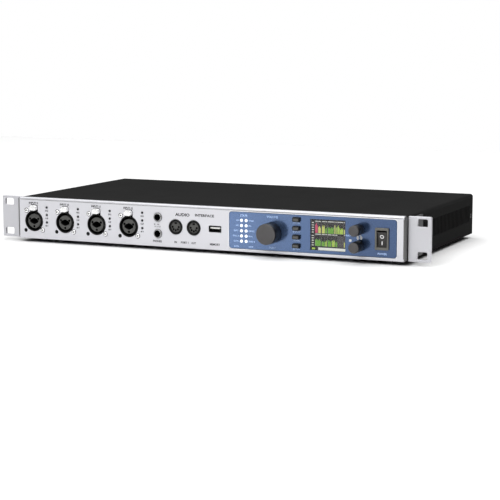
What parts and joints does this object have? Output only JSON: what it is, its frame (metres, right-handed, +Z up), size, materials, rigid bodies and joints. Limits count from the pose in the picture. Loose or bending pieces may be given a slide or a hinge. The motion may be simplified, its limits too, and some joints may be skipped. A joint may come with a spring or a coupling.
{
  "type": "audio interface",
  "caption": "Rack-mount audio interface with combined microphone sockets, control knobs, a colour display and a rear panel of line, digital and computer sockets.",
  "frame": {"origin": "under the middle of the bounding box, on the surface the feet stand on", "axes": "+X to the right as seen from the front, +Y towards the rear panel, +Z up; the controls face -Y"},
  "size_m": [0.4826, 0.264, 0.048],
  "materials": {
    "panel_silver": "satin anodised, fine grain",
    "overlay_blue": "glossy blue, reflective",
    "cover_black": "fine textured powder coat",
    "rear_black": "satin powder coat",
    "ear_silver": "satin on the front face, black behind",
    "socket_black": "moulded, fine texture",
    "socket_grey": "moulded insert",
    "latch_steel": "pressed steel",
    "chrome": "polished",
    "port_steel": "stamped shell",
    "knob_grey": "grey turned face, black side",
    "button_grey": "moulded",
    "switch_grey": "moulded",
    "rocker_black": "moulded, satin",
    "flap_white": "moulded",
    "display_glass": "clear window",
    "board_green": "circuit board with parts",
    "foot_rubber": "matt",
    "marking_white": "screen print",
    "display_picture": "lit colour screen",
    "led_white": "lit"
  },
  "bodies": {
    "chassis": {"aes_input": "socket_black", "aes_output": "socket_black", "base_tray": "cover_black", "control_overlay": "overlay_blue", "display_module": "display_picture", "display_window": "display_glass", "fibre_transceiver": "socket_black", "foot_front_left": "foot_rubber", "foot_front_right": "foot_rubber", "foot_rear_left": "foot_rubber", "foot_rear_right": "foot_rubber", "front_board": "board_green", "front_midi_sockets": "socket_black", "front_panel": "panel_silver", "front_usb_socket": "port_steel", "input_jacks": "socket_black", "input_socket_1": "socket_black", "input_socket_2": "socket_black", "input_socket_3": "socket_black", "input_socket_4": "socket_black", "line_output_7": "socket_black", "line_output_8": "socket_black", "main_board": "board_green", "mains_inlet": "socket_black", "optical_port_a": "socket_black", "optical_port_b": "socket_black", "output_jacks": "socket_black", "phones_jacks": "socket_black", "power_supply": "board_green", "power_switch_frame": "switch_grey", "rack_ear_left": "ear_silver", "rack_ear_right": "ear_silver", "rear_midi_sockets": "socket_black", "rear_panel": "rear_black", "remote_port": "port_steel", "thunderbolt_port": "port_steel", "top_cover": "cover_black", "usb_b_port": "port_steel", "word_clock_input": "chrome", "word_clock_output": "chrome"},
    "power_rocker": {"power_rocker": "rocker_black"},
    "volume_push": {"volume_shaft": "latch_steel"},
    "volume_turn": {"volume_knob": "knob_grey"},
    "upper_push": {"upper_shaft": "latch_steel"},
    "upper_turn": {"upper_knob": "knob_grey"},
    "lower_push": {"lower_shaft": "latch_steel"},
    "lower_turn": {"lower_knob": "knob_grey"},
    "menu_button_1": {"menu_button_1": "button_grey"},
    "menu_button_2": {"menu_button_2": "button_grey"},
    "menu_button_3": {"menu_button_3": "button_grey"},
    "menu_button_4": {"menu_button_4": "button_grey"},
    "input_latch_1": {"input_latch_1": "latch_steel"},
    "input_latch_2": {"input_latch_2": "latch_steel"},
    "input_latch_3": {"input_latch_3": "latch_steel"},
    "input_latch_4": {"input_latch_4": "latch_steel"},
    "aes_input_latch": {"aes_input_latch": "latch_steel"},
    "optical_b_output_shutter": {"optical_b_output_shutter": "flap_white"},
    "optical_b_input_shutter": {"optical_b_input_shutter": "socket_black"},
    "optical_a_output_shutter": {"optical_a_output_shutter": "flap_white"},
    "optical_a_input_shutter": {"optical_a_input_shutter": "socket_black"}
  },
  "joints": [
    {"name": "power_rocker_tilt", "type": "hinge", "parent": "chassis", "child": "power_rocker", "pos_m": [0.1943, -0.112, 0.0253], "axis": [-1, 0, 0], "range_deg": [0, 14]},
    {"name": "volume_knob_push", "type": "slide", "parent": "chassis", "child": "volume_push", "axis": [0, 1, 0], "range_m": [0, 0.0005], "stiffness_N_per_m": 1500, "springref_m": -0.0008},
    {"name": "volume_knob_turn", "type": "hinge", "parent": "volume_push", "child": "volume_turn", "pos_m": [0.079, -0.123, 0.0253], "axis": [0, 1, 0], "continuous": true},
    {"name": "upper_knob_push", "type": "slide", "parent": "chassis", "child": "upper_push", "axis": [0, 1, 0], "range_m": [0, 0.0005], "stiffness_N_per_m": 1500, "springref_m": -0.0008},
    {"name": "upper_knob_turn", "type": "hinge", "parent": "upper_push", "child": "upper_turn", "pos_m": [0.171, -0.123, 0.0335], "axis": [0, 1, 0], "continuous": true},
    {"name": "lower_knob_push", "type": "slide", "parent": "chassis", "child": "lower_push", "axis": [0, 1, 0], "range_m": [0, 0.0005], "stiffness_N_per_m": 1500, "springref_m": -0.0008},
    {"name": "lower_knob_turn", "type": "hinge", "parent": "lower_push", "child": "lower_turn", "pos_m": [0.171, -0.123, 0.0173], "axis": [0, 1, 0], "continuous": true},
    {"name": "menu_button_1_press", "type": "slide", "parent": "chassis", "child": "menu_button_1", "axis": [0, 1, 0], "range_m": [0, 0.0008], "stiffness_N_per_m": 600, "springref_m": -0.0008},
    {"name": "menu_button_2_press", "type": "slide", "parent": "chassis", "child": "menu_button_2", "axis": [0, 1, 0], "range_m": [0, 0.0008], "stiffness_N_per_m": 600, "springref_m": -0.0008},
    {"name": "menu_button_3_press", "type": "slide", "parent": "chassis", "child": "menu_button_3", "axis": [0, 1, 0], "range_m": [0, 0.0008], "stiffness_N_per_m": 600, "springref_m": -0.0008},
    {"name": "menu_button_4_press", "type": "slide", "parent": "chassis", "child": "menu_button_4", "axis": [0, 1, 0], "range_m": [0, 0.0008], "stiffness_N_per_m": 600, "springref_m": -0.0008},
    {"name": "input_latch_1_press", "type": "slide", "parent": "chassis", "child": "input_latch_1", "axis": [0, 1, 0], "range_m": [0, 0.0015], "stiffness_N_per_m": 900, "springref_m": -0.001},
    {"name": "input_latch_2_press", "type": "slide", "parent": "chassis", "child": "input_latch_2", "axis": [0, 1, 0], "range_m": [0, 0.0015], "stiffness_N_per_m": 900, "springref_m": -0.001},
    {"name": "input_latch_3_press", "type": "slide", "parent": "chassis", "child": "input_latch_3", "axis": [0, 1, 0], "range_m": [0, 0.0015], "stiffness_N_per_m": 900, "springref_m": -0.001},
    {"name": "input_latch_4_press", "type": "slide", "parent": "chassis", "child": "input_latch_4", "axis": [0, 1, 0], "range_m": [0, 0.0015], "stiffness_N_per_m": 900, "springref_m": -0.001},
    {"name": "aes_input_latch_press", "type": "slide", "parent": "chassis", "child": "aes_input_latch", "axis": [0, -1, 0], "range_m": [0, 0.0015], "stiffness_N_per_m": 900, "springref_m": -0.001},
    {"name": "optical_b_output_shutter_swing", "type": "hinge", "parent": "chassis", "child": "optical_b_output_shutter", "pos_m": [0.087, 0.11565, 0.0389], "axis": [-1, 0, 0], "range_deg": [0, 80], "stiffness_Nm_per_rad": 0.0015, "springref_deg": -17.19},
    {"name": "optical_b_input_shutter_swing", "type": "hinge", "parent": "chassis", "child": "optical_b_input_shutter", "pos_m": [0.074, 0.11565, 0.0389], "axis": [-1, 0, 0], "range_deg": [0, 80], "stiffness_Nm_per_rad": 0.0015, "springref_deg": -17.19},
    {"name": "optical_a_output_shutter_swing", "type": "hinge", "parent": "chassis", "child": "optical_a_output_shutter", "pos_m": [0.061, 0.11565, 0.0389], "axis": [-1, 0, 0], "range_deg": [0, 80], "stiffness_Nm_per_rad": 0.0015, "springref_deg": -17.19},
    {"name": "optical_a_input_shutter_swing", "type": "hinge", "parent": "chassis", "child": "optical_a_input_shutter", "pos_m": [0.048, 0.11565, 0.0389], "axis": [-1, 0, 0], "range_deg": [0, 80], "stiffness_Nm_per_rad": 0.0015, "springref_deg": -17.19}
  ]
}
